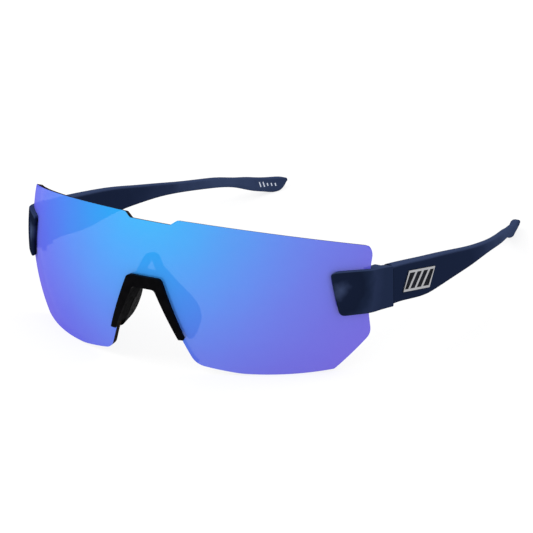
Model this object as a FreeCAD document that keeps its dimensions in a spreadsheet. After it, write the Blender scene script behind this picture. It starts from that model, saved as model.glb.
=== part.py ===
import FreeCAD, Part
import math
import os
import re
import Sketcher

# Wraparound sport sunglasses: one rimless shield lens, a nose clip with soft pads, and on each
# side an end piece, a screw hinge and a temple.
#
# The model is drawn with y = 0 at the lens's foremost point, z = 0 on the table, +x towards the
# wearer's left. Every finished piece is then moved forward by origin_depth, so that the row's
# origin is on the table under the middle of the glasses. The wearer's left side is drawn and
# the right side is its mirror image.

Vector = FreeCAD.Vector

DIMENSIONS = {
    # the whole
    "origin_depth": 88.74,
    # lens: a wall that is an arc in plan and a flatter arc in section
    "lens_radius": 80.4,
    "lens_rise_radius": 87.3,
    "lens_vertex_height": 26.3,
    "lens_thickness": 2.0,
    "lens_half_width": 67.0,
    "lens_corner_height": 43.3,
    "lens_brow_height": 54.0,
    "lens_brow_notch": 52.3,
    "lens_brow_notch_half": 7.9,
    "lens_jaw_x": 56.7,
    "lens_jaw_height": 0.5,
    "fit_gap": 0.03,
    # nose opening of the lens
    "nose_top_half": 4.9,
    "nose_top_height": 31.2,
    "nose_side_x": 12.8,
    "nose_side_height": 12.6,
    # nose clip
    "clip_front": 1.6,
    "clip_back": 3.8,
    "clip_top_half": 6.4,
    "clip_top_height": 33.9,
    "clip_foot_outer": 14.2,
    "clip_foot_inner": 12.1,
    "clip_foot_height": 13.1,
    "clip_arch_height": 41.3,
    "clip_arch_front": 3.3,
    "clip_arch_back": 5.5,
    "clip_lip": 1.6,
    "pad_thickness": 1.8,
    "pad_rear_step": 0.4,
    # end piece
    "end_front": 1.8,
    "end_top": 36.9,
    "end_bottom": 21.3,
    "end_outer_x": 70.75,
    "end_flare": 5.41,
    "end_flare_start": 15.0,
    "end_flare_stop": 52.0,
    "end_inner_x": 64.4,
    "end_front_x": 58.3,
    "end_face_lean": 3.0,
    "end_wall": 1.9,
    "end_rear_recess": 2.6,
    "end_crease_radius": 10.0,
    "end_top_corner": 1.2,
    "end_low_corner": 1.8,
    "end_edge_radius": 0.5,
    "seam_depth": 47.0,
    "seam_gap": 0.3,
    # lens clamp
    "clamp_thickness": 1.4,
    "clamp_shaft": 0.6,
    "clamp_head": 1.15,
    "clamp_head_height": 0.6,
    "clamp_recess_wall": 0.15,
    "clamp_seat_gap": 0.14,
    "clamp_hole_cover": 0.5,
    "bush_radius": 1.0,
    "bush_set_back": 0.06,
    # hinge
    "hinge_x": 66.6,
    "barrel_radius": 2.1,
    "barrel_relief": 2.45,
    "ear_neck_inner": 1.2,
    "ear_neck_length": 4.2,
    "tongue_neck_length": 3.4,
    "ear_low": 20.4,
    "ear_high": 33.0,
    "tongue_low": 24.5,
    "tongue_high": 29.7,
    "knuckle_gap": 0.12,
    "screw_radius": 0.7,
    "screw_running": 0.05,
    "screw_head_radius": 1.35,
    "screw_head_height": 0.8,
    "screw_slot_half": 0.15,
    "screw_slot_depth": 0.35,
    "screw_short": 0.3,
    "nut_radius": 1.25,
    "nut_height": 1.9,
    # badge on the temple's outer face
    "badge_length": 18.0,
    "badge_height": 7.2,
    "badge_slant": 2.4,
    "badge_rim": 0.8,
    "badge_thickness": 0.8,
    "badge_proud": 0.3,
    "badge_recess_gap": 0.04,
    "badge_x": 70.78,
    "badge_depth": 63.3,
    "badge_level": 23.9,
    "bar_pitch": 4.4,
    "bar_half": 0.7,
    "bar_inset": 0.1,
}

doc = FreeCAD.newDocument("sport_sunglasses")
sheet = doc.addObject("Spreadsheet::Sheet", "Dimensions")
for row, (alias, millimetres) in enumerate(DIMENSIONS.items(), start=1):
    sheet.set(f"A{row}", alias)
    sheet.set(f"B{row}", str(millimetres))
    sheet.setAlias(f"B{row}", alias)
doc.recompute()


# ---- reading the sheet and binding to it ------------------------------------------------------


def cells(text):
    """The expression with every alias turned into a reference to its cell."""
    return re.sub(r"[a-z_]{3,}", lambda word: f"Dimensions.{word[0]}" if word[0] in DIMENSIONS
                  else word[0], text)


def size(text):
    """The number that an expression of aliases gives, such as "lens_radius - 2"."""
    return float(sheet.evalExpression(cells(text)))


def bind(item, prop, text):
    """Ties a property to the sheet."""
    item.setExpression(prop, cells(text))


def part(kind, name, **bound):
    """A new Part object whose properties are tied to the sheet."""
    item = doc.addObject(kind, name)
    item.Label = name
    for prop, text in bound.items():
        bind(item, prop, text)
    return item


def common(name, *pieces):
    item = part("Part::MultiCommon", name)
    item.Shapes = list(pieces)
    return item


def fused(name, *pieces):
    item = part("Part::MultiFuse", name)
    item.Shapes = list(pieces)
    return item


def cut(name, base, *tools):
    """The base with every tool taken out of it."""
    item = part("Part::Cut", name)
    item.Base = base
    item.Tool = tools[0] if len(tools) == 1 else fused(f"{name}_tools", *tools)
    return item


def rounded(name, base, radius, wanted):
    """The base with its chosen edges rounded; wanted(edge) says which."""
    doc.recompute()
    chosen = [k for k, edge in enumerate(base.Shape.Edges, start=1) if wanted(edge)]
    item = part("Part::Fillet", name)
    item.Base = base
    item.Edges = [(k, size(radius), size(radius)) for k in chosen]
    return item


def upright(name, radius, low, high, x="hinge_x", y="seam_depth"):
    """A vertical cylinder from height low to height high."""
    item = part("Part::Cylinder", name, Radius=radius, Height=f"{high} - ({low})")
    for axis, text in (("x", x), ("y", y), ("z", low)):
        bind(item, f"Placement.Base.{axis}", text)
    return item


def block(name, low, high):
    """A box between two corners, each three expressions."""
    item = part("Part::Box", name)
    for prop, a, b in zip(("Length", "Width", "Height"), low, high):
        bind(item, prop, f"{b} - ({a})")
    for axis, a in zip("xyz", low):
        bind(item, f"Placement.Base.{axis}", a)
    return item


# ---- sketches ---------------------------------------------------------------------------------


def new_sketch(body, role):
    sketch = body.newObject("Sketcher::SketchObject", f"{body.Name}_sketch")
    plane = next(item for item in body.Origin.OriginFeatures if item.Role == role)
    sketch.AttachmentSupport = [(plane, "")]
    sketch.MapMode = "FlatFace"
    return sketch


def pin_point(sketch, edge, end, across, up):
    """Holds one end of a sketch edge at two expressions from the sketch's origin."""
    for kind, text in (("DistanceX", across), ("DistanceY", up)):
        index = sketch.addConstraint(
            Sketcher.Constraint(kind, -1, 1, edge, end, size(text)))
        sketch.setExpression(f"Constraints[{index}]", cells(text))


def polygon(sketch, corners):
    """A closed outline of straight edges through corners of two expressions each."""
    points = [Vector(size(across), size(up), 0) for across, up in corners]
    for here, there in zip(points, points[1:] + points[:1]):
        sketch.addGeometry(Part.LineSegment(here, there), False)
    for k, (across, up) in enumerate(corners):
        sketch.addConstraint(Sketcher.Constraint("Coincident", k - 1 if k else len(points) - 1,
                                                 2, k, 1))
        pin_point(sketch, k, 1, across, up)


def smooth_outline(sketch, runs):
    """A closed outline of runs of points: two points make a line, more make a curve."""
    for run in runs:
        points = [Vector(across, up, 0) for across, up in run]
        if len(points) == 2:
            sketch.addGeometry(Part.LineSegment(*points), False)
        else:
            curve = Part.BSplineCurve()
            curve.interpolate(points)
            sketch.addGeometry(curve, False)
    for k in range(len(runs)):
        sketch.addConstraint(Sketcher.Constraint("Coincident", k - 1 if k else len(runs) - 1,
                                                 2, k, 1))


def new_body(name):
    body = doc.addObject("PartDesign::Body", name)
    body.Label = name
    return body


def pad(name, role, draw, length, offset=None):
    """A body that is one padded sketch, centred on its plane unless it starts at an offset."""
    body = new_body(name)
    sketch = new_sketch(body, role)
    draw(sketch)
    feature = body.newObject("PartDesign::Pad", f"{name}_pad")
    feature.Profile = sketch
    bind(feature, "Length", length)
    if offset is None:
        feature.Midplane = True
    else:
        bind(sketch, "AttachmentOffset.Base.z", offset)
    return body


# ---- the lens's double-curved wall -------------------------------------------------------------


def lens_shell(name, front, back):
    """The lens's wall, from `front` proud of its outer face to `back` behind that face.

    Two arcs about one centre, turned about the upright axis through the centre of the plan's
    arc. The body's own +x points forward, so the sketch is the wall's section at the nose.
    """
    low, high = -4.0, 58.0
    body = new_body(name)
    sketch = new_sketch(body, "XZ_Plane")
    across = size("lens_radius - lens_rise_radius")
    centre = Vector(across, size("lens_vertex_height"), 0)
    ends = []
    for text in (f"lens_rise_radius + ({front})", f"lens_rise_radius - ({back})"):
        radius = size(text)
        angles = [math.asin((height - centre.y) / radius) for height in (low, high)]
        circle = Part.Circle(centre, Vector(0, 0, 1), radius)
        edge = sketch.addGeometry(Part.ArcOfCircle(circle, *angles), False)
        pin_point(sketch, edge, 3, "lens_radius - lens_rise_radius", "lens_vertex_height")
        index = sketch.addConstraint(Sketcher.Constraint("Radius", edge, radius))
        sketch.setExpression(f"Constraints[{index}]", cells(text))
        for end, height in ((1, low), (2, high)):
            sketch.addConstraint(Sketcher.Constraint("DistanceY", -1, 1, edge, end, height))
        ends.append([Vector(across + radius * math.cos(angle), height, 0)
                     for angle, height in zip(angles, (low, high))])
    for end, (outer, inner) in enumerate(zip(*ends), start=1):
        edge = sketch.addGeometry(Part.LineSegment(outer, inner), False)
        sketch.addConstraint(Sketcher.Constraint("Coincident", edge, 1, 0, end))
        sketch.addConstraint(Sketcher.Constraint("Coincident", edge, 2, 1, end))
    turn = body.newObject("PartDesign::Revolution", f"{name}_turn")
    turn.Profile = sketch
    turn.ReferenceAxis = (sketch, ["V_Axis"])
    turn.Angle = 150
    turn.Midplane = True
    body.Placement.Rotation = FreeCAD.Rotation(Vector(0, 0, 1), -90)
    bind(body, "Placement.Base.y", "lens_radius")
    return body


def lens_face_depth(x, z):
    """How far behind the foremost point the lens's outer face is at x and height z."""
    rise = size("lens_rise_radius")
    sag = rise - math.sqrt(rise ** 2 - (z - size("lens_vertex_height")) ** 2)
    return size("lens_radius") - math.sqrt((size("lens_radius") - sag) ** 2 - x ** 2)


def rounded_wire(corners, depth):
    """A closed wire in the plane y = depth through (x, z, corner radius) corners."""
    points = [Vector(x, depth, z) for x, z, _ in corners]
    edges = []
    last = None
    first = None
    for k, (_, _, radius) in enumerate(corners):
        here = points[k]
        back = (points[k - 1] - here).normalize()
        ahead = (points[(k + 1) % len(points)] - here).normalize()
        half = back.getAngle(ahead) / 2
        start = here + back * (radius / math.tan(half))
        end = here + ahead * (radius / math.tan(half))
        if last:
            edges.append(Part.LineSegment(last, start).toShape())
        first = first or start
        if radius:
            bisector = (back + ahead).normalize()
            middle = here + bisector * (radius / math.sin(half) - radius)
            edges.append(Part.Arc(start, middle, end).toShape())
        last = end
    edges.append(Part.LineSegment(last, first).toShape())
    return Part.Wire(edges)


def trim(name, corners):
    """A cutter whose walls all aim at the lens's centre of curvature.

    It meets the lens's outer face in the outline through the given corners, so what it trims
    has edges square to the lens. Corners are (x, height, radius on the face).
    """
    centre_depth = (size("lens_radius") + size("lens_rise_radius")) / 2
    level = size("lens_vertex_height")
    front, back = -6.0, 56.0
    spread = []
    for x, z, radius in corners:
        grow = (centre_depth - front) / (centre_depth - lens_face_depth(x, z))
        spread.append((x * grow, level + (z - level) * grow, radius * grow))
    outer = rounded_wire(spread, front)
    shrink = (centre_depth - back) / (centre_depth - front)
    inner = rounded_wire([(x * shrink, level + (z - level) * shrink, radius * shrink)
                          for x, z, radius in spread], back)
    item = part("Part::Feature", name)
    item.Shape = Part.makeLoft([outer, inner], True, True)
    return item


def both_halves(corners):
    """The corners of the +x half, in order, closed by their mirror images."""
    return corners + [(-x, z, radius) for x, z, radius in reversed(corners)]


def lens_outline(margin=0.0):
    """The lens's outline; margin makes it larger all round.

    Its low edge runs on across the nose, where the opening takes it away.
    """
    return both_halves([
        (size("lens_brow_notch_half"), size("lens_brow_notch") + margin, 0.8),
        (size("lens_brow_notch_half") + 2.4, size("lens_brow_height") + margin, 0.8),
        (size("lens_half_width") + margin, size("lens_corner_height") + margin, 2.6),
        (66.0 + margin, 28.0, 30.0),
        (66.5 + margin, 12.4, 3.0),
        (size("lens_jaw_x"), size("lens_jaw_height") - margin, 1.5),
        (31.0, 0.5 - margin, 40.0),
        (19.5, 2.7 - margin, 6.0),
        (14.0, 3.6 - margin, 0.0),
    ])


def nose_outline(margin=0.0):
    """The opening for the nose; margin makes it smaller.

    Below, it spreads along the lens's low edge, so the two meet in a soft corner.
    """
    return both_halves([
        (size("nose_top_half") - margin, size("nose_top_height") - margin, 1.2),
        (size("nose_side_x") - margin, size("nose_side_height"), 8.0),
        (16.6 - margin, 3.35, 7.0),
        (28.0, 1.0, 0.0),
        (28.0, -8.0, 0.0),
    ])


# ---- lens and its clamps -----------------------------------------------------------------------

CLAMP_HEIGHTS = (25.2, 32.8)
CLAMP_X = {25.2: 62.6, 32.8: 61.6}


def clamp_axis(height):
    """Where a clamp screw crosses the lens's outer face, and the outward direction there."""
    x = CLAMP_X[height]
    point = Vector(x, lens_face_depth(x, height), height)
    outward = Vector(point.x, point.y - size("lens_radius"), 0).normalize()
    return point, outward


def along_clamp(name, height, radius, behind, ahead):
    """A cylinder on a clamp screw's axis, from `behind` the lens's face to `ahead` of it."""
    point, outward = clamp_axis(height)
    item = part("Part::Cylinder", name, Radius=radius, Height=f"({ahead}) + ({behind})")
    item.Placement = FreeCAD.Placement(point - outward * size(behind),
                                       FreeCAD.Rotation(Vector(0, 0, 1), outward))
    return item


def clamp_row(name, radius, behind, ahead):
    """The two cylinders of one side's clamp, as one object."""
    return fused(name, *[along_clamp(f"{name}_{k}", height, radius, behind, ahead)
                         for k, height in enumerate(CLAMP_HEIGHTS)])


def make_lens():
    holes = clamp_row("lens_holes", "bush_radius + fit_gap", "3 * lens_thickness",
                      "2 * lens_thickness")
    far_holes = part("Part::Mirroring", "lens_holes_right")
    far_holes.Source = holes
    far_holes.Normal = Vector(1, 0, 0)
    wall = common("lens_wall", lens_shell("lens_blank", "0", "lens_thickness"),
                  trim("lens_trim", lens_outline()))
    return cut("lens", wall, trim("nose_trim", nose_outline()), holes, far_holes)


def make_clamp_plate():
    outline = [(58.4, 35.2, 1.6), (64.0, 35.2, 1.6), (64.0, 22.9, 1.6), (60.0, 22.9, 1.6)]
    wall = common("clamp_plate_wall",
                  lens_shell("clamp_blank", "-(lens_thickness + fit_gap)",
                             "lens_thickness + fit_gap + clamp_thickness"),
                  trim("clamp_trim", outline))
    return cut("left_clamp_plate", wall,
               clamp_row("clamp_plate_holes", "clamp_shaft + fit_gap", "4 * lens_thickness",
                         "0"))


def make_lens_bushes():
    sleeve = clamp_row("bush_outer", "bush_radius", "lens_thickness - bush_set_back",
                       "-bush_set_back")
    return cut("left_lens_bushes", sleeve,
               clamp_row("bush_bore", "clamp_shaft + fit_gap", "3 * lens_thickness",
                         "lens_thickness"))


def make_clamp_screws():
    seat = "lens_thickness + clamp_thickness + clamp_seat_gap"
    shaft = clamp_row("clamp_shafts", "clamp_shaft", seat,
                      "end_front - clamp_hole_cover - 0.1")
    head = clamp_row("clamp_heads", "clamp_head", f"{seat} + clamp_head_height",
                     f"-({seat})")
    bodies = fused("clamp_screw_bodies", shaft, head)
    recess = clamp_row("clamp_recess", "clamp_shaft - clamp_recess_wall",
                       f"{seat} + clamp_head_height", f"-({seat} + 0.1)")
    return cut("left_clamp_screws", bodies, recess)


# ---- nose clip and pads ------------------------------------------------------------------------


def clip_foot():
    """Half widths and height of the clip's two feet."""
    return size("clip_foot_outer"), size("clip_foot_inner"), size("clip_foot_height")


def make_nose_clip():
    """A band round the nose opening, grooved for the lens's edge, with an arch behind.

    Its front lip reaches clip_lip lower than the channel behind it.
    """
    outer, inner, foot = clip_foot()
    flange = both_halves([(size("clip_top_half"), size("clip_top_height"), 1.9),
                          (outer, foot, 0.3)])
    opening = both_halves([(4.2, 29.9, 1.7), (inner, foot, 0.0), (16.0, 6.0, 0.0)])
    arch = both_halves([(1.9, size("clip_arch_height"), 2.7), (6.0, 33.6, 1.5),
                        (9.6, 28.0, 1.0), (8.0, 23.0, 0.0)])
    window = both_halves([(0.3, 39.2, 0.2), (2.7, 34.8, 0.4)])
    band = common("clip_band", lens_shell("clip_blank", "clip_front", "clip_back"),
                  trim("clip_trim", flange))
    rear_arch = common("clip_arch",
                       lens_shell("arch_blank", "-clip_arch_front", "clip_arch_back"),
                       trim("arch_trim", arch))
    groove = cut("clip_groove", lens_shell("groove_blank", "fit_gap", "lens_thickness + fit_gap"),
                 trim("groove_trim", nose_outline(0.04)))
    short = common("clip_short_feet", lens_shell("short_blank", "0", "clip_arch_back + 1"),
                   block("short_level", ("-20", "-4", "clip_foot_height - 2"),
                         ("20", "16", "clip_foot_height + clip_lip")))
    return cut("nose_clip", fused("clip_solid", band, rear_arch),
               trim("opening_trim", opening), trim("window_trim", window), groove, short)


def make_nose_pad(clip):
    """A soft wing behind the clip, through level sections of (height, front, rear)."""
    thickness = size("pad_thickness")
    step = size("pad_rear_step")
    sections = [
        (11.6, (12.7, 5.8), (13.2, 7.6)),
        (12.8, (12.1, 5.4), (13.0, 10.2)),
        (14.2, (11.5, 5.0), (12.4, 13.0)),
        (16.4, (10.7, 4.8), (12.0, 15.0)),
        (21.4, (8.4, 4.8), (10.1, 15.4)),
        (30.0, (4.3, 4.4), (6.0, 10.2)),
        (36.6, (1.7, 4.4), (2.6, 6.9)),
    ]
    wires = []
    for height, front, rear in sections:
        ring = [Vector(*front, height), Vector(*rear, height),
                Vector(rear[0] + thickness, rear[1] - step, height),
                Vector(front[0] + thickness, front[1], height)]
        wires.append(Part.makePolygon(ring + ring[:1]))
    wing = part("Part::Feature", "pad_wing")
    wing.Shape = Part.makeLoft(wires, True, True)
    return cut("left_nose_pad", settle(wing), clip)


# ---- end piece ---------------------------------------------------------------------------------


def knuckle(name, low, high, near, far, inner):
    """A hinge knuckle: a barrel on the hinge axis and a neck from y = near to y = far."""
    barrel = upright(f"{name}_barrel", "barrel_radius", low, high)
    neck = block(f"{name}_neck", (f"hinge_x - {inner}", near, low),
                 ("hinge_x + barrel_radius", far, high))
    return fused(name, barrel, neck)


def end_plan(sketch):
    """Seen from above: the flared side wall, run on past the seam."""
    inboard = "end_front_x - 10"
    polygon(sketch, [
        (inboard, "end_flare_start"),
        ("end_outer_x - end_flare", "end_flare_start"),
        ("end_outer_x", "end_flare_stop"),
        (inboard, "end_flare_stop"),
    ])


def end_side(sketch):
    """Seen from the side: level over the lens, then falling smoothly with the temple."""
    top, bottom = size("end_top"), size("end_bottom")
    upper = [(15.0, top), (28.0, top), (38.0, top - 1.2), (52.0, top - 4.0)]
    lower = [(52.0, bottom - 2.9), (38.0, bottom - 0.9), (28.0, bottom - 0.1), (15.0, bottom)]
    smooth_outline(sketch, [upper, [upper[-1], lower[0]], lower, [lower[-1], upper[0]]])


def end_face(sketch):
    """Seen from the front: the flange's leaning edge, run on past its outside."""
    outboard = "end_outer_x + 4"
    polygon(sketch, [
        ("end_front_x", "end_top"),
        ("end_front_x - 0.17", "end_top + 1"),
        (outboard, "end_top + 1"),
        (outboard, "end_bottom - 4"),
        ("end_front_x + end_face_lean", "end_bottom - 4"),
    ])


def end_inside(sketch):
    """Seen from above: what is empty behind the lens, up to the lip and the hinge's root."""
    polygon(sketch, [
        ("40", "10"),
        ("57", "25"),
        ("64.3", "33.7"),
        ("end_inner_x", "38.6"),
        ("end_inner_x", "60"),
        ("40", "60"),
    ])


def side_wall_x(depth):
    """x of the end piece's outer wall at a depth."""
    start, stop = size("end_flare_start"), size("end_flare_stop")
    return size("end_outer_x") - size("end_flare") * (stop - depth) / (stop - start)


def on_outer_rim(edge):
    """Whether an edge bounds the outside of the flange or of the side wall."""
    middle = edge.CenterOfMass
    reach = math.hypot(middle.x, middle.y - size("lens_radius"))
    outside = middle.x > side_wall_x(middle.y) - 0.3 or reach > size(
        "lens_radius + end_front - 0.75")
    upright_blend = edge.BoundBox.ZLength > 10 and middle.x > 64
    return outside and not upright_blend and middle.y < size("end_flare_stop - 0.5")


def is_flange_corner(edge):
    """Whether an edge is one of the two corners of the flange, seen from the front."""
    box = edge.BoundBox
    return box.YLength > 8 and box.XLength < 1.5 and edge.CenterOfMass.x < 62.5


def make_end_piece():
    bulk = common("end_bulk",
                  pad("end_plan", "XY_Plane", end_plan, "26", "16"),
                  pad("end_side", "YZ_Plane", end_side, "200"),
                  pad("end_face", "XZ_Plane", end_face, "200"),
                  lens_shell("end_envelope", "end_front", "40"))
    crease = rounded("end_crease", bulk, "end_crease_radius",
                     lambda edge: edge.BoundBox.ZLength > 10
                     and edge.CenterOfMass.x > 67 and edge.CenterOfMass.y < 40)
    top_corner = rounded("end_top_corner", crease, "end_top_corner",
                         lambda edge: is_flange_corner(edge) and edge.CenterOfMass.z > 30)
    low_corner = rounded("end_low_corner", top_corner, "end_low_corner",
                         lambda edge: is_flange_corner(edge) and edge.CenterOfMass.z < 30)
    soft = rounded("end_soft", low_corner, "end_edge_radius", on_outer_rim)
    slot = common("lens_slot",
                  lens_shell("slot_blank", "fit_gap", "lens_thickness + fit_gap"),
                  trim("slot_trim", lens_outline(0.08)))
    rear = block("end_rear_relief", ("50", "seam_depth - end_rear_recess", "10"),
                 ("end_outer_x - end_wall", "seam_depth + 8", "45"))
    beyond = block("end_beyond", ("40", "seam_depth - seam_gap / 2", "10"),
                   ("80", "seam_depth + 8", "45"))
    hollow = cut("end_hollow", soft, slot, rear, beyond,
                 pad("end_inside", "XY_Plane", end_inside, "40", "10"),
                 upright("tongue_relief", "barrel_relief", "tongue_low - knuckle_gap",
                         "tongue_high + knuckle_gap"))
    neck = ("seam_depth - ear_neck_length", "seam_depth", "ear_neck_inner")
    low_ear = knuckle("low_ear", "ear_low", "tongue_low - knuckle_gap", *neck)
    high_ear = knuckle("high_ear", "tongue_high + knuckle_gap", "ear_high", *neck)
    return cut("left_end_piece", fused("end_solid", hollow, low_ear, high_ear),
               upright("ear_bore", "screw_radius + fit_gap", "10", "45"),
               upright("ear_head_recess", "screw_head_radius + fit_gap", "10",
                       "ear_low + screw_head_height + fit_gap"),
               upright("ear_nut_recess", "nut_radius + fit_gap",
                       "ear_high - nut_height - fit_gap", "45"),
               clamp_row("end_screw_holes", "clamp_shaft + fit_gap", "0",
                         "end_front - clamp_hole_cover"))


# ---- hinge screw and nut -----------------------------------------------------------------------


def make_hinge_screw():
    shaft = upright("screw_shaft", "screw_radius", "ear_low + 0.1",
                    "ear_high - screw_short")
    head = upright("screw_head", "screw_head_radius", "ear_low", "ear_low + screw_head_height")
    slot = block("screw_slot", ("hinge_x - 2", "seam_depth - screw_slot_half", "ear_low - 1"),
                 ("hinge_x + 2", "seam_depth + screw_slot_half", "ear_low + screw_slot_depth"))
    return cut("left_hinge_screw", fused("screw_solid", shaft, head), slot)


def make_hinge_nut():
    rim = upright("nut_rim", "nut_radius", "ear_high - nut_height", "ear_high")
    return cut("left_hinge_nut", rim, upright("nut_bore", "screw_radius + fit_gap", "10", "45"))


# ---- temple ------------------------------------------------------------------------------------


# Sections of the temple, front to tip: (depth, middle x at the top, half width, bottom, top,
# edge radius, how far the bottom leans in under the top). It bows out a little, then closes in
# behind the head; the top falls nearly straight, the underside turns up at a knee, thins to a
# springy waist and drops to a twisted heel at the tip, whose end is cut slanting and rounded.
TEMPLE_SECTIONS = [
    (40.0, 67.00, 2.60, 21.0, 35.0, 1.1, 0.0),
    (47.0, 67.45, 2.55, 19.9, 33.7, 1.1, 0.0),
    (62.0, 68.35, 2.40, 17.3, 30.9, 1.1, 0.0),
    (69.5, 68.60, 2.35, 16.1, 29.3, 1.1, 0.0),
    (78.0, 68.60, 2.20, 15.6, 27.5, 1.1, 0.0),
    (94.0, 68.25, 1.95, 15.0, 23.8, 1.1, 0.0),
    (106.0, 67.20, 1.80, 14.0, 20.7, 1.1, 0.0),
    (118.0, 65.60, 1.60, 12.8, 17.8, 1.1, 0.1),
    (130.0, 63.40, 1.50, 11.0, 15.0, 1.1, 0.3),
    (142.0, 60.80, 1.50, 8.8, 12.6, 1.1, 0.7),
    (150.0, 58.70, 1.50, 7.2, 10.9, 1.1, 1.2),
    (156.0, 56.95, 1.55, 5.4, 9.2, 1.1, 1.8),
    (162.5, 54.90, 1.65, 2.6, 7.6, 1.1, 2.4),
    (168.0, 52.90, 1.75, 0.8, 6.0, 1.1, 2.5),
    (173.2, 50.50, 1.75, -0.25, 4.9, 1.1, 2.2),
    (176.6, 49.30, 1.60, 0.8, 4.1, 0.9, 1.3),
    (179.0, 48.40, 1.10, 1.9, 3.2, 0.5, 0.3),
]


def rounded_section(depth, middle, half, bottom, top, radius, lean):
    """A rounded four-sided section in the plane y = depth, leaning in at the bottom."""
    return rounded_wire([(middle - lean - half, bottom, radius),
                         (middle - lean + half, bottom, radius),
                         (middle + half, top, radius), (middle - half, top, radius)], depth)


def badge_place():
    """The middle of the badge on the temple's outer face: its z points outward.

    The face toes out by `toe` and the temple falls by `fall`, both per unit of depth.
    """
    toe, fall = 0.032, 0.232
    middle = Vector(size("badge_x"), size("badge_depth"), size("badge_level"))
    outward = Vector(1, -toe, 0).normalize()
    along = Vector(toe, 1, -fall).normalize()
    upward = outward.cross(along)
    return FreeCAD.Placement(middle, FreeCAD.Rotation(along, upward, outward, "ZXY"))


def badge_plate(name, margin, low, high):
    """The badge's slanted outline, from low to high along its outward axis."""
    length = f"(badge_length / 2 + ({margin}))"
    half = f"(badge_height / 2 + ({margin}))"

    def draw(sketch):
        polygon(sketch, [
            (f"-{length} + badge_slant / 2", half),
            (f"{length} + badge_slant / 2", half),
            (f"{length} - badge_slant / 2", f"-{half}"),
            (f"-{length} - badge_slant / 2", f"-{half}"),
        ])

    body = pad(name, "XY_Plane", draw, f"{high} - ({low})", low)
    body.Placement = badge_place()
    return body


def badge_bars():
    """Three slanted bars across the badge's window."""
    bars = []
    for k, centre in enumerate(("-bar_pitch", "0", "bar_pitch")):
        def draw(sketch, centre=centre):
            polygon(sketch, [
                (f"{centre} - bar_half + badge_slant", "badge_height / 2 - bar_inset"),
                (f"{centre} + bar_half + badge_slant", "badge_height / 2 - bar_inset"),
                (f"{centre} + bar_half - badge_slant", "bar_inset - badge_height / 2"),
                (f"{centre} - bar_half - badge_slant", "bar_inset - badge_height / 2"),
            ])

        bar = pad(f"badge_bar_{k}", "XY_Plane", draw, "badge_thickness - 0.05",
                  "badge_proud - badge_thickness")
        bar.Placement = badge_place()
        bars.append(bar)
    return bars


def make_temple():
    bar = part("Part::Feature", "temple_bar")
    bar.Shape = Part.makeLoft([rounded_section(*row) for row in TEMPLE_SECTIONS], True, False)
    shaped = cut("temple_shaped", bar,
                 block("temple_front_cut", ("40", "30", "0"),
                       ("90", "seam_depth + seam_gap / 2", "50")),
                 block("temple_sole_cut", ("40", "150", "-5"), ("60", "190", "0")),
                 upright("low_ear_relief", "barrel_relief", "10", "tongue_low"),
                 upright("high_ear_relief", "barrel_relief", "tongue_high", "45"),
                 badge_plate("badge_recess", "badge_recess_gap",
                             "badge_proud - badge_thickness - fit_gap", "3"))
    tongue = knuckle("tongue", "tongue_low", "tongue_high", "seam_depth",
                     "seam_depth + tongue_neck_length", "barrel_radius")
    return cut("left_temple", fused("temple_solid", shaped, tongue),
               upright("tongue_bore", "screw_radius + screw_running", "10", "45"))


def make_badge():
    plate = badge_plate("badge_plate", "0", "badge_proud - badge_thickness", "badge_proud")
    window = badge_plate("badge_window", "-badge_rim", "badge_proud - badge_thickness - 1", "2")
    bars = common("badge_bar_row", fused("badge_bar_set", *badge_bars()),
                  badge_plate("badge_bar_bounds", "-badge_rim / 2",
                              "badge_proud - badge_thickness", "badge_proud"))
    rim = cut("badge_rim_plate", plate, window)
    frame = fused("left_badge_frame", rim, bars)
    filling = badge_plate("badge_filling", "-badge_rim", "badge_proud - badge_thickness",
                          "badge_proud - 0.15")
    return frame, cut("left_badge_infill", filling, bars)


# ---- assembly ----------------------------------------------------------------------------------


def settle(piece):
    """Moves a finished piece from the drawing's origin to the row's."""
    bind(piece, "Placement.Base.y", "-origin_depth")
    return piece


def mirror_image(piece):
    """The wearer's right-hand copy of a left-hand piece."""
    item = part("Part::Mirroring", piece.Label.replace("left_", "right_"))
    item.Source = piece
    item.Normal = Vector(1, 0, 0)
    return item


def check(pieces):
    """Stops if any object failed, or a piece is empty, broken or not solid."""
    for item in doc.Objects:
        if "Invalid" in item.State or "Error" in item.State:
            raise SystemExit(f"{item.Name} failed: {item.State}")
    for piece in pieces:
        shape = piece.Shape
        if shape.isNull() or not shape.isValid() or not shape.Solids:
            raise SystemExit(f"{piece.Label} has no valid solid")
        print(f"{piece.Label}: {len(shape.Solids)} solids, {shape.Volume:.2f} mm3")


def main():
    clip = make_nose_clip()
    middle = [make_lens(), clip]
    left = [make_end_piece(), make_clamp_plate(), make_lens_bushes(),
            make_clamp_screws(), make_hinge_screw(), make_hinge_nut(), make_temple(),
            *make_badge()]
    for piece in middle + left:
        settle(piece)
    left.append(make_nose_pad(clip))
    pieces = middle + left + [mirror_image(piece) for piece in left]
    doc.recompute()
    check(pieces)
    os.makedirs("parts", exist_ok=True)
    for piece in pieces:
        piece.Shape.exportStep(f"parts/{piece.Label}.step")


main()
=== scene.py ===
import math

import bmesh
import bpy
from mathutils import Matrix, Vector


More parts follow.
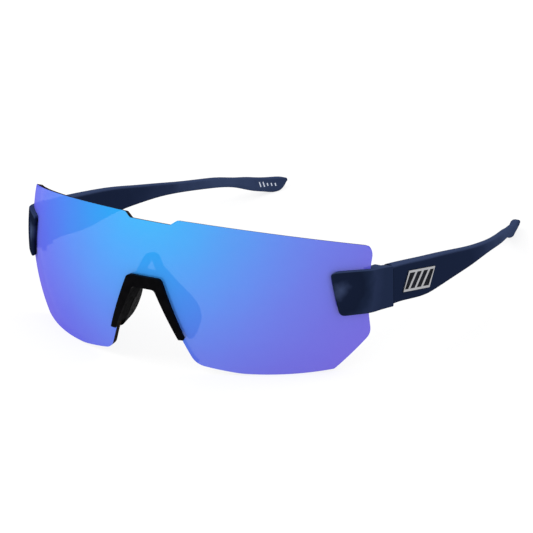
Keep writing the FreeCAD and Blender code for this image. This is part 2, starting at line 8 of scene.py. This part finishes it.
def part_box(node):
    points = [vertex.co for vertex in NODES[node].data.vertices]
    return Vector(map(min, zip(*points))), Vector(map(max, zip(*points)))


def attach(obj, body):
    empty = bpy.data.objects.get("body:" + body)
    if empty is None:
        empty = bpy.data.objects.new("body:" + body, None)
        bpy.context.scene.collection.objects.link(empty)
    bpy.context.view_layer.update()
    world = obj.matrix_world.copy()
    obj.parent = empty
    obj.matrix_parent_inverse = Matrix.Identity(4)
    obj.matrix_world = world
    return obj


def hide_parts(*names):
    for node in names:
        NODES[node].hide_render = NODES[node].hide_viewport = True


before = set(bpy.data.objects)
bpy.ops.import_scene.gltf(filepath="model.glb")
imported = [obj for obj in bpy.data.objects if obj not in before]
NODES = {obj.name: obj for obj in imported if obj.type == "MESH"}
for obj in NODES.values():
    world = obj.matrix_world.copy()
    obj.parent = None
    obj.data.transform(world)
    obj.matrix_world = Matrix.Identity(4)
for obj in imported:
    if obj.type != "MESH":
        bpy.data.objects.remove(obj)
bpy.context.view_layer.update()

# Looks for the wraparound sport sunglasses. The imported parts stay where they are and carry
# procedural materials; the soft nose pads and the printed marks are built here.
# Metres throughout: +Z up, +Y from the lens towards the temple tips, +X the wearer's left.

MM = 0.001
SIDES = {"left": 1, "right": -1}


# ---- where things are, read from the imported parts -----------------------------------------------

LENS_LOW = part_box("lens")[0]
LENS_FRONT = LENS_LOW.y
# The radii of the lens's outer face in plan and in height, and the height of its middle.
LENS_RADIUS = 80.4 * MM
LENS_RISE_RADIUS = 87.3 * MM
LENS_LEVEL = 26.3 * MM
# The lens's edges within this x are those round the nose.
NOSE_EDGE_X = 17 * MM
# The clip's walls beside the nose end below this height.
CHANNEL_TOP = 29 * MM


# ---- materials ----------------------------------------------------------------------------------


def linear(red, green, blue):
    """A display colour from 0 to 255 as a shader colour."""
    return [c / 12.92 if c <= 0.04045 else ((c + 0.055) / 1.055) ** 2.4
            for c in (red / 255, green / 255, blue / 255)] + [1.0]


class Finish:
    """A procedural material: a Principled shader and the texture nodes that feed it."""

    def __init__(self, name, **sockets):
        self.material = bpy.data.materials.new(name)
        self.material.use_nodes = True
        self.tree = self.material.node_tree
        self.tree.nodes.clear()
        self.shader = self.add("ShaderNodeBsdfPrincipled", **sockets)
        output = self.add("ShaderNodeOutputMaterial")
        self.join(self.shader, "BSDF", output, "Surface")
        self.place = self.add("ShaderNodeTexCoord")
        self.relief = None

    def add(self, kind, settings=None, **sockets):
        node = self.tree.nodes.new(kind)
        for key, value in (settings or {}).items():
            setattr(node, key, value)
        for key, value in sockets.items():
            node.inputs[key.replace("_", " ")].default_value = value
        return node

    def join(self, source, output, target, socket):
        self.tree.links.new(source.outputs[output], target.inputs[socket])

    def grain(self, size, detail=3.0, stretch=(1, 1, 1)):
        """A noise whose blobs are about `size` metres across, drawn out along an axis."""
        spread = self.add("ShaderNodeMapping", Scale=stretch)
        self.join(self.place, "Object", spread, "Vector")
        noise = self.add("ShaderNodeTexNoise", Scale=1 / size, Detail=detail)
        self.join(spread, "Vector", noise, "Vector")
        return noise

    def between(self, source, low, high, socket, spread=(0.35, 0.65)):
        """Feeds a shader number that runs from low to high with a noise."""
        scale = self.add("ShaderNodeMapRange", From_Min=spread[0], From_Max=spread[1],
                         To_Min=low, To_Max=high)
        self.join(source, 0, scale, "Value")
        self.join(scale, "Result", self.shader, socket)

    def tint(self, source, low, high, spread=(0.35, 0.65)):
        """Feeds the shader's colour, from low to high with a noise."""
        ramp = self.add("ShaderNodeValToRGB")
        for element, place, colour in zip(ramp.color_ramp.elements, spread, (low, high)):
            element.position = place
            element.color = colour
        self.join(source, 0, ramp, "Fac")
        self.join(ramp, "Color", self.shader, "Base Color")

    def bump(self, source, height, strength=0.5):
        """Adds relief of about `height` metres from a noise, on top of any before it."""
        bump = self.add("ShaderNodeBump", Strength=strength, Distance=height)
        self.join(source, 0, bump, "Height")
        if self.relief:
            self.join(self.relief, "Normal", bump, "Normal")
        self.join(bump, "Normal", self.shader, "Normal")
        self.relief = bump

    def calculate(self, operation, *values):
        """A math node on numbers and (node, output) pairs."""
        node = self.add("ShaderNodeMath", {"operation": operation})
        for k, value in enumerate(values):
            if isinstance(value, tuple):
                self.join(*value, node, k)
            else:
                node.inputs[k].default_value = value
        return node, 0

    def reach(self, centre, scale=(1, 1, 1)):
        """Distance from a point, the same on both sides of the glasses, as a (node, output)."""
        parts = self.add("ShaderNodeSeparateXYZ")
        self.join(self.place, "Object", parts, "Vector")
        total = None
        for axis, middle, stretch in zip("XYZ", centre, scale):
            value = (parts, axis)
            if axis == "X":
                value = self.calculate("ABSOLUTE", value)
            offset = self.calculate("MULTIPLY", self.calculate("SUBTRACT", value, middle),
                                    stretch)
            square = self.calculate("MULTIPLY", offset, offset)
            total = self.calculate("ADD", total, square) if total else square
        return self.calculate("SQRT", total)

    def shade(self, value, whole, stops, blobs, sway):
        """Feeds the colour from a list of stops along value / whole, unevenly by `sway`.

        Gives back the colour ramp.
        """
        share = self.calculate("DIVIDE", value, whole)
        uneven = self.add("ShaderNodeMapRange", From_Min=0.3, From_Max=0.7, To_Min=-sway,
                          To_Max=sway)
        self.join(self.grain(blobs, detail=2.0), 0, uneven, "Value")
        share = self.calculate("ADD", share, (uneven, "Result"))
        ramp = self.add("ShaderNodeValToRGB")
        elements = ramp.color_ramp.elements
        elements.remove(elements[0])
        for k, (place, colour) in enumerate(stops):
            element = elements[0] if k == 0 else elements.new(place)
            element.position = place
            element.color = linear(*colour)
        self.join(*share, ramp, "Fac")
        self.join(ramp, "Color", self.shader, "Base Color")
        return ramp


# The coating's colours by distance from a point above the lens's brow: partly the film's own blue to
# violet, partly painted reflection colour, its shift of hue with viewing angle fixed by position.
FILM_HUE_CENTRE = (0.0, 0.0, 65 * MM)
FILM_HUE_STRETCH = (1.0, 0.0, 0.9)
FILM_HUE_REACH = 90 * MM
FILM_HUE_STOPS = [
    (0.12, (36, 176, 247)),
    (0.23, (52, 165, 246)),
    (0.36, (69, 150, 242)),
    (0.50, (85, 133, 238)),
    (0.64, (97, 116, 232)),
    (0.78, (103, 103, 226)),
    (0.95, (109, 93, 222)),
]
# The film turns from metallic to plain between these distances from the middle.
FILM_NEAR, FILM_FAR = 30 * MM, 62 * MM
FILM_METALLIC = 0.3


def mirror_coating():
    """The lens's outer face: a metallic film, cyan high in the middle and violet far out."""
    finish = Finish("lens_mirror_film", Roughness=0.2, Alpha=0.88, Specular_IOR_Level=0.0,
                    Specular_Tint=linear(120, 120, 240))
    # Painted reflection colour: the film's shift from cyan to violet with viewing angle, laid on by
    # position.
    finish.shade(finish.reach(FILM_HUE_CENTRE, FILM_HUE_STRETCH), FILM_HUE_REACH, FILM_HUE_STOPS, 9 * MM, 0.008)
    film = finish.add("ShaderNodeMapRange", From_Min=FILM_NEAR, From_Max=FILM_FAR,
                      To_Min=FILM_METALLIC, To_Max=0.0)
    finish.join(*finish.reach((0.0, 0.0, 0.0), (1.0, 0.0, 0.0)), film, "Value")
    finish.join(film, "Result", finish.shader, "Metallic")
    finish.between(finish.grain(0.6 * MM), 0.18, 0.24, "Roughness")
    return finish.material


def lens_tint():
    """The lens's inner face: smoke-grey polycarbonate."""
    finish = Finish("lens_smoke_tint", Roughness=0.08, Alpha=0.58)
    finish.tint(finish.grain(12 * MM), linear(46, 44, 50), linear(58, 56, 64))
    finish.between(finish.grain(0.7 * MM), 0.06, 0.12, "Roughness")
    return finish.material


def lens_edge():
    """The lens's cut edge: dark with a brown cast, and finely milled."""
    finish = Finish("lens_milled_edge", Roughness=0.4, Specular_IOR_Level=0.0)
    finish.tint(finish.grain(1.5 * MM, stretch=(1, 1, 4)), linear(14, 12, 12),
                linear(46, 37, 33))
    finish.bump(finish.grain(0.15 * MM), 0.02 * MM)
    return finish.material


# The temple's navy by distance back from a line ahead of the lens, with painted light: deepest at
# the hinge and palest on the temple's thin rear part, where light falls on it.
NAVY_START = -120 * MM
NAVY_SPAN = 220 * MM
NAVY_WITH_PAINTED_LIGHT = [
    (0.30, (23, 32, 54)),
    (0.60, (25, 34, 57)),
    (0.70, (34, 44, 70)),
    (0.79, (50, 62, 91)),
    (0.84, (51, 63, 92)),
    (0.95, (40, 51, 78)),
]
# The end piece's navy by distance from a painted highlight near its flange's front edge, with
# painted light and shade in the rings round it.
HIGHLIGHT_CENTRE = (61.5 * MM, -62.8 * MM, 30.8 * MM)
HIGHLIGHT_REACH = 20 * MM
NAVY_ROUND_HIGHLIGHT = [
    (0.00, (58, 71, 101)),
    (0.11, (43, 53, 80)),
    (0.20, (21, 29, 50)),
    (0.40, (20, 28, 48)),
    (0.54, (26, 36, 59)),
    (0.68, (36, 46, 73)),
    (0.90, (31, 41, 66)),
]
# The paler navy painted on upper faces as light falling from above.
TOP_LIT_NAVY = linear(50, 62, 92)
# How far up a face looks, as the z of its normal, where the upper faces' painted top light begins
# and is full.
TOP_LIGHT_START, TOP_LIGHT_FULL = 0.45, 0.95
# A colour Mix node's sockets: it has one pair for each kind of value.
MIX_FIRST, MIX_SECOND, MIX_RESULT = 6, 7, 2


def satin_and_top_light(finish, ramp):
    """The grain that every navy moulding has, and painted light on its upper faces: a paler navy, as
    if lit from above.
    """
    # Painted light: faces that look up are mixed towards a paler navy, as if lit from above.
    parts = finish.add("ShaderNodeSeparateXYZ")
    finish.join(finish.place, "Normal", parts, "Vector")
    upper = finish.add("ShaderNodeMapRange", From_Min=TOP_LIGHT_START, From_Max=TOP_LIGHT_FULL)
    finish.join(parts, "Z", upper, "Value")
    pale = finish.add("ShaderNodeMix", {"data_type": "RGBA"})
    pale.inputs[MIX_SECOND].default_value = TOP_LIT_NAVY
    finish.join(upper, "Result", pale, "Factor")
    finish.join(ramp, "Color", pale, MIX_FIRST)
    finish.join(pale, MIX_RESULT, finish.shader, "Base Color")
    finish.between(finish.grain(0.4 * MM), 0.38, 0.5, "Roughness")
    finish.bump(finish.grain(5 * MM, detail=1.0), 0.2 * MM, strength=0.2)
    finish.bump(finish.grain(0.12 * MM), 0.012 * MM)
    return finish.material


def temple_plastic():
    """Satin moulded nylon, navy, with painted light: paler on the thin rear part of the temple."""
    finish = Finish("navy_temple", Metallic=0.06, Roughness=0.42, Specular_IOR_Level=0.0,
                    Specular_Tint=linear(60, 70, 110))
    # Painted light: the navy is paler along the temple's rear part, where light falls on it.
    back = finish.reach((0.0, NAVY_START, 0.0), (0.0, 1.0, 0.0))
    return satin_and_top_light(finish, finish.shade(back, NAVY_SPAN, NAVY_WITH_PAINTED_LIGHT, 9 * MM, 0.02))


def end_plastic():
    """The same nylon on the end pieces, with a painted highlight near the flange's front edge."""
    finish = Finish("navy_end_piece", Metallic=0.06, Roughness=0.42, Specular_IOR_Level=0.0,
                    Specular_Tint=linear(60, 70, 110))
    # Painted highlight: a pale patch of reflected light, fading through darker rings of painted
    # shade.
    highlight_reach = finish.reach(HIGHLIGHT_CENTRE)
    return satin_and_top_light(finish, finish.shade(highlight_reach, HIGHLIGHT_REACH, NAVY_ROUND_HIGHLIGHT, 5 * MM, 0.05))


def black_plastic():
    """The clip's smooth black moulding."""
    finish = Finish("black_plastic", Roughness=0.35, Specular_IOR_Level=0.01)
    finish.tint(finish.grain(3 * MM), linear(5, 5, 6), linear(10, 9, 11))
    finish.between(finish.grain(0.5 * MM), 0.3, 0.45, "Roughness")
    finish.bump(finish.grain(0.15 * MM), 0.008 * MM)
    return finish.material


def clip_wall_painted_light():
    """The clip's inner walls: matt, and painted paler than the rest of the clip as painted light
    where light falls on them.
    """
    finish = Finish("black_plastic_painted_light", Roughness=0.6, Specular_IOR_Level=0.0)
    # Painted light: a paler black than the clip's own, for the walls that catch the light.
    finish.tint(finish.grain(1.5 * MM), linear(19, 19, 20), linear(30, 30, 31))
    finish.bump(finish.grain(0.2 * MM), 0.015 * MM)
    return finish.material


def clamp_plastic():
    """The clamp plates' matt moulding."""
    finish = Finish("clamp_plastic", Roughness=0.55, Specular_IOR_Level=0.3)
    finish.tint(finish.grain(3 * MM), linear(22, 25, 33), linear(36, 40, 52))
    finish.bump(finish.grain(0.2 * MM), 0.02 * MM)
    return finish.material


def pad_rubber():
    """Soft matt elastomer with a pebbled skin."""
    finish = Finish("pad_rubber", Roughness=0.7, Specular_IOR_Level=0.0)
    finish.tint(finish.grain(1.2 * MM), linear(31, 31, 31), linear(54, 54, 55))
    cells = finish.add("ShaderNodeTexVoronoi", Scale=1 / (0.45 * MM))
    finish.join(finish.place, "Object", cells, "Vector")
    finish.bump(cells, 0.05 * MM, strength=0.6)
    finish.bump(finish.grain(0.15 * MM), 0.02 * MM)
    return finish.material


def pad_groove_shade():
    """The pads' front edge, painted black as the shade in the groove against the clip."""
    finish = Finish("pad_groove_painted_shade", Roughness=0.6, Specular_IOR_Level=0.0)
    finish.tint(finish.grain(0.8 * MM), linear(3, 3, 3), linear(8, 8, 8))
    finish.bump(finish.grain(0.2 * MM), 0.01 * MM)
    return finish.material


def brushed_metal(name, colour, roughness, stretch=(1, 12, 12)):
    """A metal with fine brush lines along x, or the axis that is not stretched."""
    finish = Finish(name, Metallic=1.0, Roughness=roughness)
    dark = [channel * 0.75 for channel in colour[:3]] + [1.0]
    brush = finish.grain(1.2 * MM, stretch=stretch)
    finish.tint(brush, dark, colour)
    finish.between(brush, roughness * 0.8, roughness * 1.3, "Roughness")
    finish.bump(brush, 0.01 * MM)
    return finish.material


def enamel():
    """The badge's black filling."""
    finish = Finish("badge_enamel", Roughness=0.2, Specular_IOR_Level=0.01)
    finish.tint(finish.grain(2 * MM), linear(12, 13, 18), linear(24, 27, 36))
    finish.bump(finish.grain(0.6 * MM), 0.01 * MM)
    return finish.material


def nylon():
    """The bushes' natural nylon."""
    finish = Finish("natural_nylon", Roughness=0.5)
    finish.tint(finish.grain(0.8 * MM), linear(205, 200, 188), linear(226, 222, 212))
    finish.bump(finish.grain(0.2 * MM), 0.01 * MM)
    return finish.material


def print_ink():
    """Pale pad-printed ink."""
    finish = Finish("print_ink", Roughness=0.6)
    finish.tint(finish.grain(0.2 * MM), linear(170, 178, 196), linear(214, 220, 232))
    finish.bump(finish.grain(0.1 * MM), 0.005 * MM)
    return finish.material


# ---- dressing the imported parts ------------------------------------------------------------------


def dress(node, material):
    """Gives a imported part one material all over."""
    slots = NODES[node].data.materials
    slots.clear()
    slots.append(material)


# How squarely a lens face looks outward or inward to be one of its two big faces, and how far
# up one looks to be the brow's edge.
FACE_SQUARE = 0.8
EDGE_UP = 0.3


def dress_lens():
    """Mirror film outside, smoke tint inside; the milled edges that show are darker."""
    mesh = NODES["lens"].data
    mesh.materials.clear()
    for material in (mirror_coating(), lens_tint(), lens_edge()):
        mesh.materials.append(material)
    centre_y = LENS_FRONT + LENS_RADIUS
    for face in mesh.polygons:
        height = face.center.z - LENS_LEVEL
        flat = Vector((face.center.x, face.center.y - centre_y, 0)).normalized()
        outward = flat * math.sqrt(LENS_RISE_RADIUS ** 2 - height ** 2) + Vector((0, 0, height))
        facing = face.normal.dot(outward.normalized())
        seen_edge = face.normal.z > EDGE_UP or abs(face.center.x) < NOSE_EDGE_X
        if facing > FACE_SQUARE:
            face.material_index = 0
        elif facing < -FACE_SQUARE or not seen_edge:
            face.material_index = 1
        else:
            face.material_index = 2


# How squarely a wall of the clip faces the nose to be one of its inner walls, which carry painted
# light.
WALL_INWARD = 0.6


def dress_clip():
    """Smooth black all over, but matt and painted paler on the walls that face the nose, as painted
    light.
    """
    mesh = NODES["nose_clip"].data
    mesh.materials.clear()
    for material in (black_plastic(), clip_wall_painted_light()):
        mesh.materials.append(material)
    for face in mesh.polygons:
        inward = face.normal.x * math.copysign(1, face.center.x) < -WALL_INWARD
        face.material_index = 1 if inward and face.center.z < CHANNEL_TOP else 0


def dress_packed_parts():
    """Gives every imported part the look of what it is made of."""
    dress_lens()
    dress_clip()
    steel = brushed_metal("screw_steel", linear(200, 201, 204), 0.3)
    chrome = brushed_metal("badge_chrome", linear(178, 179, 182), 0.25)
    finishes = {
        "end_piece": end_plastic(),
        "temple": temple_plastic(),
        "clamp_plate": clamp_plastic(),
        "clamp_screws": steel,
        "hinge_screw": steel,
        "hinge_nut": brushed_metal("nut_blackened", linear(52, 50, 52), 0.4),
        "lens_bushes": nylon(),
        "badge_frame": chrome,
        "badge_infill": enamel(),
    }
    for side in SIDES:
        for name, material in finishes.items():
            dress(f"{side}_{name}", material)


# ---- nose pads ----------------------------------------------------------------------------------

# A pad's plan at each share of its height: x and y of its front edge, then of its rear edge, in
# millimetres outward and back from the box's corner nearest to the nose.
PAD_LEVELS = [
    (0.00, 10.4, 0.8, 10.9, 2.6),
    (0.045, 9.9, 0.4, 10.7, 5.0),
    (0.10, 9.3, 0.0, 10.0, 8.0),
    (0.19, 8.4, -0.2, 9.5, 10.5),
    (0.39, 6.1, -0.2, 7.7, 10.6),
    (0.74, 2.0, -0.2, 3.6, 5.2),
    (1.00, -0.5, -0.2, 0.3, 1.6),
]
# How far that corner is behind the foremost point of the pad's box.
PAD_SET_BACK = 0.4 * MM
# How far round towards a pad's front edge its painted shade begins, as a cosine: the black strip
# stands for the shadow in the groove between pad and clip.
GROOVE_SHADE_REACH = -0.5
PAD_HALF_THICKNESS = 0.85 * MM
PAD_ROWS, PAD_AROUND = 40, 28
# How boxy a pad's level section is along and across it: 1 is an ellipse, and less is boxier.
PAD_BOXY_ALONG, PAD_BOXY_ACROSS = 0.55, 0.8
# How much thicker a pad is midway between its front and rear edges than at them.
PAD_CROWN = 0.25
# How soon a pad swells to its full section from its two ends, and its length at the very ends.
PAD_SWELL = 2.2
PAD_END_LENGTH = 0.6


def smooth_at(share, column):
    """A pad measure at a share of its height, on a curve through the levels."""
    last = len(PAD_LEVELS) - 2
    k = next((k for k in range(last) if share <= PAD_LEVELS[k + 1][0]), last)
    low, high = PAD_LEVELS[k], PAD_LEVELS[k + 1]
    before = PAD_LEVELS[max(k - 1, 0)]
    after = PAD_LEVELS[min(k + 2, last + 1)]
    gap = high[0] - low[0]
    t = (share - low[0]) / gap
    start = (high[column] - before[column]) / (high[0] - before[0]) * gap
    end = (after[column] - low[column]) / (after[0] - low[0]) * gap
    return ((2 * t ** 3 - 3 * t ** 2 + 1) * low[column] + (t ** 3 - 2 * t ** 2 + t) * start
            + (3 * t ** 2 - 2 * t ** 3) * high[column] + (t ** 3 - t ** 2) * end)


def make_nose_pad(side, material, groove_shade):
    """A soft wing: a crowned slab that leans back along the nose, rounded all round."""
    sign = SIDES[side]
    low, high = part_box(f"{side}_nose_pad")
    corner = Vector((min(abs(low.x), abs(high.x)), low.y + PAD_SET_BACK, low.z))
    tall = high.z - low.z
    half, around = PAD_HALF_THICKNESS, PAD_AROUND
    mesh = bmesh.new()
    rings = []
    for row in range(PAD_ROWS + 1):
        angle = math.pi * row / PAD_ROWS
        share = 0.5 - 0.5 * math.cos(angle)
        fx, fy, rx, ry = (smooth_at(share, column) * MM for column in (1, 2, 3, 4))
        front, rear = Vector((fx, fy)), Vector((rx, ry))
        along = (rear - front).normalized()
        across = Vector((along.y, -along.x))
        middle, length = (front + rear) / 2, (rear - front).length / 2
        swell = min(1.0, math.sin(angle) * PAD_SWELL) ** 0.5
        length *= PAD_END_LENGTH + (1 - PAD_END_LENGTH) * swell
        ring = []
        for k in range(around):
            turn = 2 * math.pi * k / around
            reach = math.copysign(abs(math.cos(turn)) ** PAD_BOXY_ALONG, math.cos(turn))
            wide = math.copysign(abs(math.sin(turn)) ** PAD_BOXY_ACROSS, math.sin(turn))
            crown = 1 + PAD_CROWN * (1 - reach ** 2)
            point = (middle + along * reach * length
                     + across * (wide * half * crown * swell + half))
            ring.append(mesh.verts.new((sign * (corner.x + point.x), corner.y + point.y,
                                        corner.z + share * tall)))
        rings.append(ring)
    for lower, upper in zip(rings, rings[1:]):
        for k in range(around):
            mesh.faces.new((lower[k], lower[(k + 1) % around], upper[(k + 1) % around],
                            upper[k]))
    mesh.faces.new(rings[0])
    mesh.faces.new(rings[-1])
    bmesh.ops.recalc_face_normals(mesh, faces=mesh.faces)
    pad = finish_piece(f"{side}_soft_pad", mesh, material)
    pad.data.materials.append(groove_shade)
    # Painted shade: the faces round the pad's front edge take the black groove shade.
    for face in pad.data.polygons:
        turn = 2 * math.pi * (face.index % around + 0.5) / around
        face.material_index = 1 if math.cos(turn) < GROOVE_SHADE_REACH else 0
    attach(pad, "front")
    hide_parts(f"{side}_nose_pad")


def finish_piece(name, mesh, material):
    """Turns a bmesh into a smooth-shaded object in the scene."""
    data = bpy.data.meshes.new(name)
    mesh.to_mesh(data)
    mesh.free()
    for face in data.polygons:
        face.use_smooth = True
    data.materials.append(material)
    piece = bpy.data.objects.new(name, data)
    bpy.context.scene.collection.objects.link(piece)
    return piece


# ---- printed marks ------------------------------------------------------------------------------


MARK_COUNT = 5
# The first mark's distance from the temple's tip and height, and the steps to the next.
MARK_BACK, MARK_PITCH = 13.4 * MM, 1.6 * MM
MARK_LEVEL, MARK_FALL = 4.3 * MM, 0.4 * MM
MARK_WIDTH = 0.5 * MM
TALL_MARKS = 2
TALL_HALF, SHORT_HALF = 0.95 * MM, 0.55 * MM
MARK_RELIEF = 0.03 * MM


def make_marks(material):
    """Five small printed bars on the inner face of the wearer's right temple, near its tip."""
    temple = NODES["right_temple"]
    low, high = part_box("right_temple")
    mesh = bmesh.new()
    for k in range(MARK_COUNT):
        depth = high.y - (MARK_BACK - MARK_PITCH * k)
        level = low.z + (MARK_LEVEL - MARK_FALL * k)
        half_height = TALL_HALF if k < TALL_MARKS else SHORT_HALF
        _, place, normal, _ = temple.ray_cast(Vector((0, depth, level)), Vector((-1, 0, 0)))
        upward = Vector((0, 0, 1))
        along = upward.cross(normal).normalized()
        upward = normal.cross(along)
        corners = [place + along * a * MARK_WIDTH / 2 + upward * b * half_height
                   for a, b in ((-1, -1), (1, -1), (1, 1), (-1, 1))]
        top = [mesh.verts.new(corner + normal * MARK_RELIEF) for corner in corners]
        base = [mesh.verts.new(corner - normal * MARK_RELIEF) for corner in corners]
        mesh.faces.new(top)
        mesh.faces.new(base[::-1])
        for j in range(4):
            mesh.faces.new((base[j], base[(j + 1) % 4], top[(j + 1) % 4], top[j]))
    bmesh.ops.recalc_face_normals(mesh, faces=mesh.faces)
    marks = finish_piece("right_temple_marks", mesh, material)
    for face in marks.data.polygons:
        face.use_smooth = False
    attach(marks, "right_temple_arm")


# ---- floor, light and camera --------------------------------------------------------------------


FLOOR_HALF_SIZE = 12.0
FLOOR_DROP = 0.05 * MM


def make_floor():
    """A pale sheet of paper just under the glasses."""
    mesh = bmesh.new()
    bmesh.ops.create_grid(mesh, x_segments=1, y_segments=1, size=FLOOR_HALF_SIZE)
    floor = finish_piece("floor", mesh, floor_paper())
    floor.location.z = LENS_LOW.z - FLOOR_DROP


def floor_paper():
    """White paper, lifted by a little light of its own."""
    finish = Finish("floor_paper", Roughness=0.9, Specular_IOR_Level=0.0,
                    Emission_Strength=0.8, Emission_Color=(1.0, 1.0, 1.0, 1.0))
    finish.tint(finish.grain(0.5), linear(122, 122, 123), linear(126, 126, 126))
    return finish.material


def make_light(name, place, size, power):
    """A round soft light that aims at the origin."""
    data = bpy.data.lights.new(name, "AREA")
    data.shape = "DISK"
    data.size = size
    data.energy = power
    light = bpy.data.objects.new(name, data)
    light.location = place
    light.rotation_euler = (-place).to_track_quat("-Z", "Y").to_euler()
    bpy.context.scene.collection.objects.link(light)


def make_world():
    """Even white light from all round."""
    world = bpy.data.worlds.new("studio")
    world.use_nodes = True
    background = world.node_tree.nodes["Background"]
    background.inputs["Color"].default_value = (1.0, 1.0, 1.0, 1.0)
    background.inputs["Strength"].default_value = 1.0
    bpy.context.scene.world = world


SENSOR_WIDTH = 36.0
CLIP_NEAR, CLIP_FAR = 0.1, 40.0
CAMERA_AZIMUTH = math.radians(30.25)
CAMERA_ELEVATION = math.radians(20.93)
CAMERA_ROLL = math.radians(-1.0)
CAMERA_DISTANCE = 2.0095
CAMERA_TARGET = Vector((18.96 * MM, LENS_FRONT + 49.85 * MM, 25 * MM))
CAMERA_LENS = 395.3
# How far left of and below the target the camera really aims.
AIM_LEFT = 0.343 * MM
AIM_DOWN = 1.15 * MM


def make_camera():
    """A long lens from the wearer's front left, a little above."""
    azimuth, elevation = CAMERA_AZIMUTH, CAMERA_ELEVATION
    back = Vector((math.sin(azimuth) * math.cos(elevation),
                   -math.cos(azimuth) * math.cos(elevation), math.sin(elevation)))
    right = Vector((math.cos(azimuth), math.sin(azimuth), 0))
    up = back.cross(right)
    across = right * math.cos(CAMERA_ROLL) + up * math.sin(CAMERA_ROLL)
    above = up * math.cos(CAMERA_ROLL) - right * math.sin(CAMERA_ROLL)
    aim = CAMERA_TARGET - across * AIM_LEFT - above * AIM_DOWN
    data = bpy.data.cameras.new("camera")
    data.sensor_width = SENSOR_WIDTH
    data.lens = CAMERA_LENS
    data.clip_start = CLIP_NEAR
    data.clip_end = CLIP_FAR
    camera = bpy.data.objects.new("camera", data)
    turn = Matrix((across, above, back)).transposed().to_4x4()
    camera.matrix_world = Matrix.Translation(aim + back * CAMERA_DISTANCE) @ turn
    bpy.context.scene.collection.objects.link(camera)
    bpy.context.scene.camera = camera


# ---- the scene ----------------------------------------------------------------------------------

dress_packed_parts()
rubber, groove_shade = pad_rubber(), pad_groove_shade()
for side in SIDES:
    make_nose_pad(side, rubber, groove_shade)
make_marks(print_ink())
make_floor()
make_world()
make_light("key", Vector((-0.9, -0.9, 1.4)), size=0.9, power=9.0)
make_light("rim", Vector((0.9, 1.2, 1.2)), size=0.8, power=6.0)
make_camera()
bpy.context.scene.view_settings.view_transform = "Standard"
